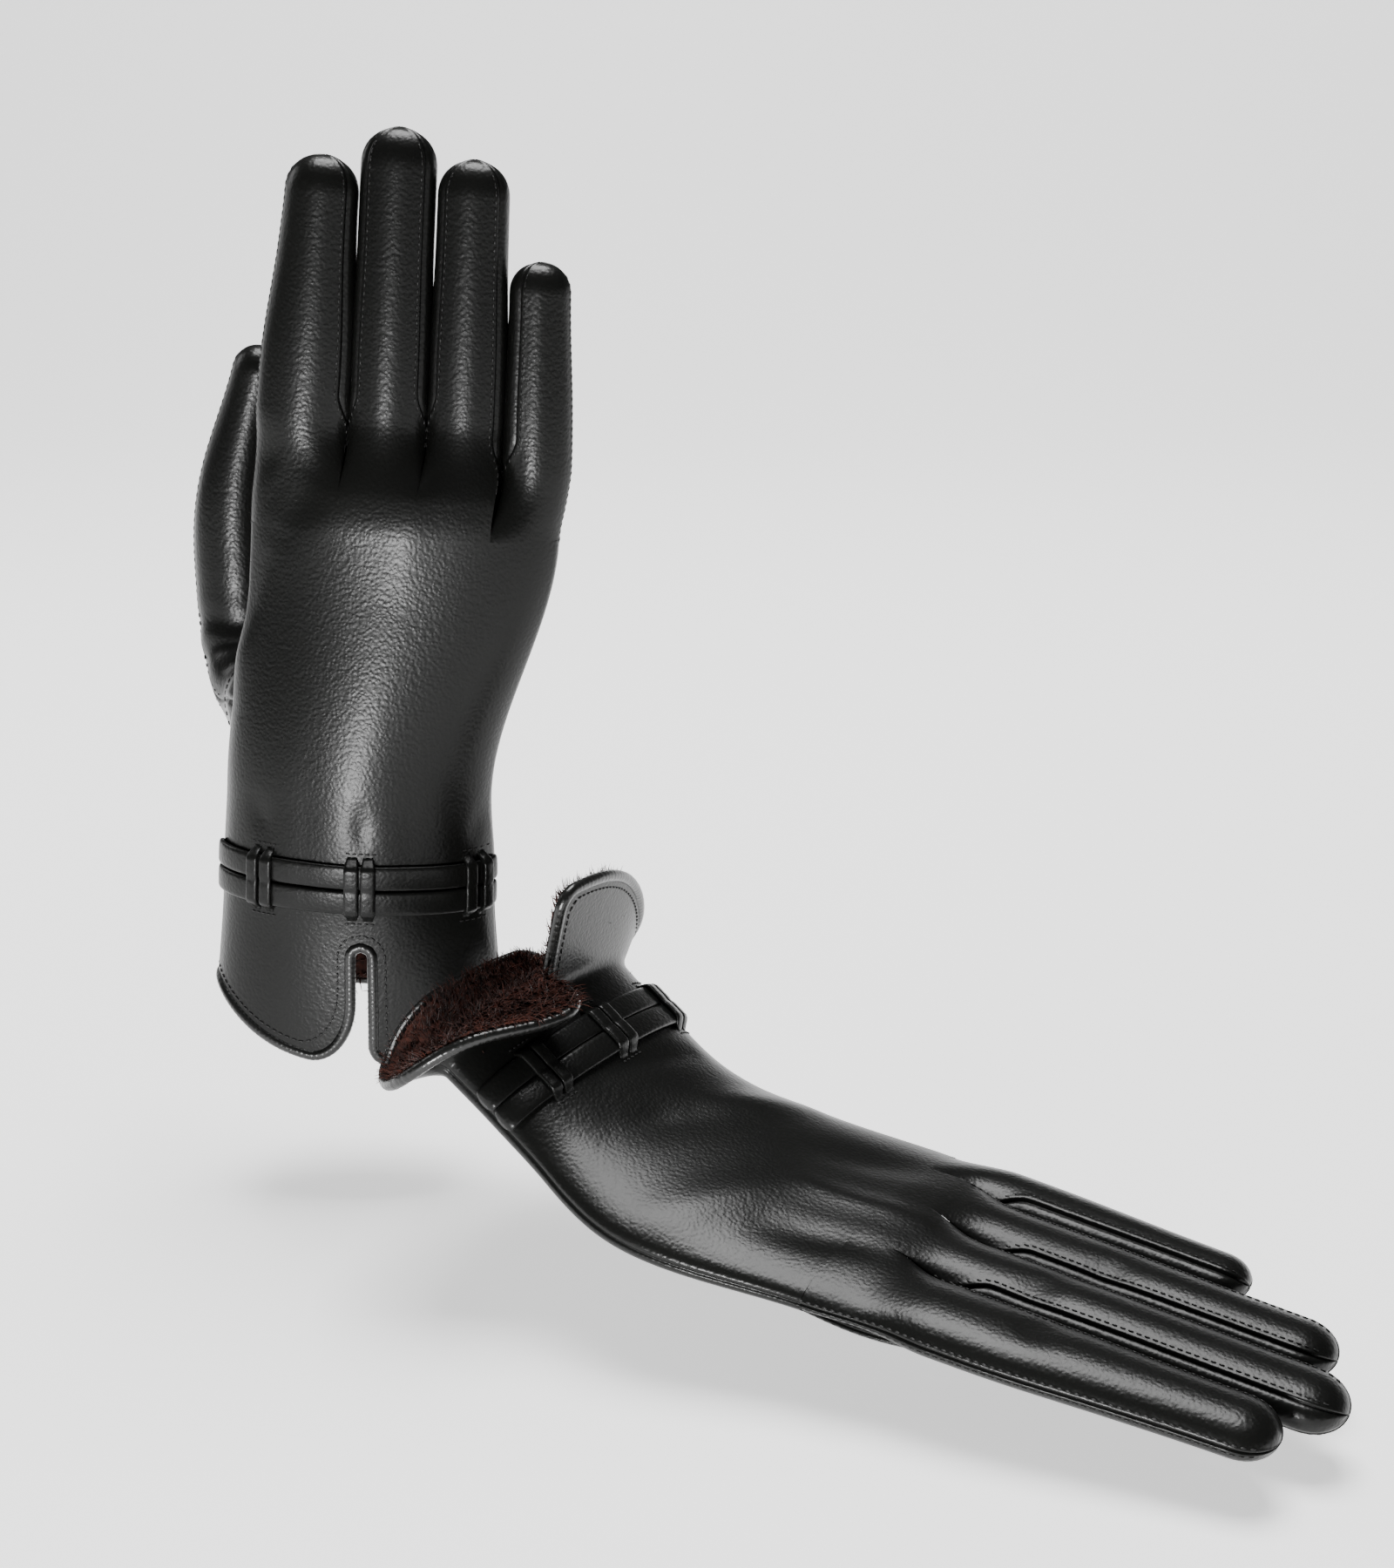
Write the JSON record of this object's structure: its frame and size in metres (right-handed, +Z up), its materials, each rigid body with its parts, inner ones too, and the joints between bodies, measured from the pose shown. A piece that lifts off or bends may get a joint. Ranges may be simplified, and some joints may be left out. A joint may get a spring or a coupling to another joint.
{
  "type": "leather gloves",
  "caption": "Pair of short lined dress gloves in black leather with fourchette fingers, a strapped wrist, a notched piped cuff and a fur lining; one stands open, one lies flat.",
  "frame": {"origin": "centre of the standing right glove's cuff mouth, where the hand form that holds it up enters", "axes": "+Z up along the hand form; +X towards the standing glove's little finger; -Y is the side its back faces, where the left glove lies"},
  "size_m": [0.2977, 0.2136, 0.2958],
  "materials": {
    "leather": "semi-gloss black nappa with a fine pebble grain",
    "piping": "glossy rolled black leather",
    "fur": "dense dark reddish-brown fur"
  },
  "bodies": {
    "right_hand": {"right_back_panel": "leather", "right_palm_panel": "leather", "right_lining_back": "fur", "right_lining_palm": "fur", "right_cuff_binding": "piping", "right_strap_upper": "leather", "right_strap_lower": "leather", "right_keeper_thumb_side": "leather", "right_keeper_centre": "leather", "right_keeper_outer": "leather"},
    "right_index": {"right_index_back": "leather", "right_index_palm": "leather", "right_index_fourchette": "leather", "right_index_lining": "fur"},
    "right_middle": {"right_middle_back": "leather", "right_middle_palm": "leather", "right_middle_fourchette": "leather", "right_middle_lining": "fur"},
    "right_ring": {"right_ring_back": "leather", "right_ring_palm": "leather", "right_ring_fourchette": "leather", "right_ring_lining": "fur"},
    "right_little": {"right_little_back": "leather", "right_little_palm": "leather", "right_little_fourchette": "leather", "right_little_lining": "fur"},
    "right_thumb": {"right_thumb_outer": "leather", "right_thumb_inner": "leather", "right_thumb_lining": "fur"},
    "left_hand": {"left_back_panel": "leather", "left_palm_panel": "leather", "left_lining_back": "fur", "left_lining_palm": "fur", "left_cuff_binding": "piping", "left_strap_upper": "leather", "left_strap_lower": "leather", "left_keeper_thumb_side": "leather", "left_keeper_centre": "leather", "left_keeper_outer": "leather"},
    "left_index": {"left_index_back": "leather", "left_index_palm": "leather", "left_index_fourchette": "leather", "left_index_lining": "fur"},
    "left_middle": {"left_middle_back": "leather", "left_middle_palm": "leather", "left_middle_fourchette": "leather", "left_middle_lining": "fur"},
    "left_ring": {"left_ring_back": "leather", "left_ring_palm": "leather", "left_ring_fourchette": "leather", "left_ring_lining": "fur"},
    "left_little": {"left_little_back": "leather", "left_little_palm": "leather", "left_little_fourchette": "leather", "left_little_lining": "fur"},
    "left_thumb": {"left_thumb_outer": "leather", "left_thumb_inner": "leather", "left_thumb_lining": "fur"}
  },
  "joints": [
    {"name": "left_glove_lift", "type": "slide", "parent": "right_hand", "child": "left_hand", "axis": [0.3, -0.62, 0.725], "range_m": [0, 0.15]},
    {"name": "right_index_flex", "type": "hinge", "parent": "right_hand", "child": "right_index", "pos_m": [-0.00854, 0, 0.17488], "axis": [-0.9914, 0, 0.1305], "range_deg": [0, 60], "stiffness_Nm_per_rad": 0.12},
    {"name": "right_middle_flex", "type": "hinge", "parent": "right_hand", "child": "right_middle", "pos_m": [0.01442, 0, 0.17344], "axis": [-0.9968, 0, 0.0799], "range_deg": [0, 60], "stiffness_Nm_per_rad": 0.12},
    {"name": "right_ring_flex", "type": "hinge", "parent": "right_hand", "child": "right_ring", "pos_m": [0.03538, 0, 0.17212], "axis": [-0.998, 0, 0.0628], "range_deg": [0, 60], "stiffness_Nm_per_rad": 0.12},
    {"name": "right_little_flex", "type": "hinge", "parent": "right_hand", "child": "right_little", "pos_m": [0.05425, 0, 0.15991], "axis": [-0.9993, 0, 0.038], "range_deg": [0, 60], "stiffness_Nm_per_rad": 0.12},
    {"name": "right_thumb_swing", "type": "hinge", "parent": "right_hand", "child": "right_thumb", "pos_m": [-0.02314, 0.01129, 0.09965], "axis": [0.5077, -0.8609, -0.0319], "range_deg": [0, 40], "stiffness_Nm_per_rad": 0.12},
    {"name": "left_index_flex", "type": "hinge", "parent": "left_hand", "child": "left_index", "pos_m": [0.14997, -0.12724, -0.0177], "axis": [0.4639, 0.8859, 0.0062], "range_deg": [0, 18], "stiffness_Nm_per_rad": 0.12},
    {"name": "left_middle_flex", "type": "hinge", "parent": "left_hand", "child": "left_middle", "pos_m": [0.16229, -0.10674, -0.0177], "axis": [0.5023, 0.8647, 0.0016], "range_deg": [0, 18], "stiffness_Nm_per_rad": 0.12},
    {"name": "left_ring_flex", "type": "hinge", "parent": "left_hand", "child": "left_ring", "pos_m": [0.17354, -0.08802, -0.0177], "axis": [0.515, 0.8572, 0], "range_deg": [0, 18], "stiffness_Nm_per_rad": 0.12},
    {"name": "left_little_flex", "type": "hinge", "parent": "left_hand", "child": "left_little", "pos_m": [0.17504, -0.06513, -0.0166], "axis": [0.5332, 0.846, -0.0023], "range_deg": [0, 18], "stiffness_Nm_per_rad": 0.12},
    {"name": "left_thumb_swing", "type": "hinge", "parent": "left_hand", "child": "left_thumb", "pos_m": [0.09276, -0.07628, -0.01598], "axis": [-0.2531, 0.0945, -0.9628], "range_deg": [0, 40], "stiffness_Nm_per_rad": 0.12}
  ]
}
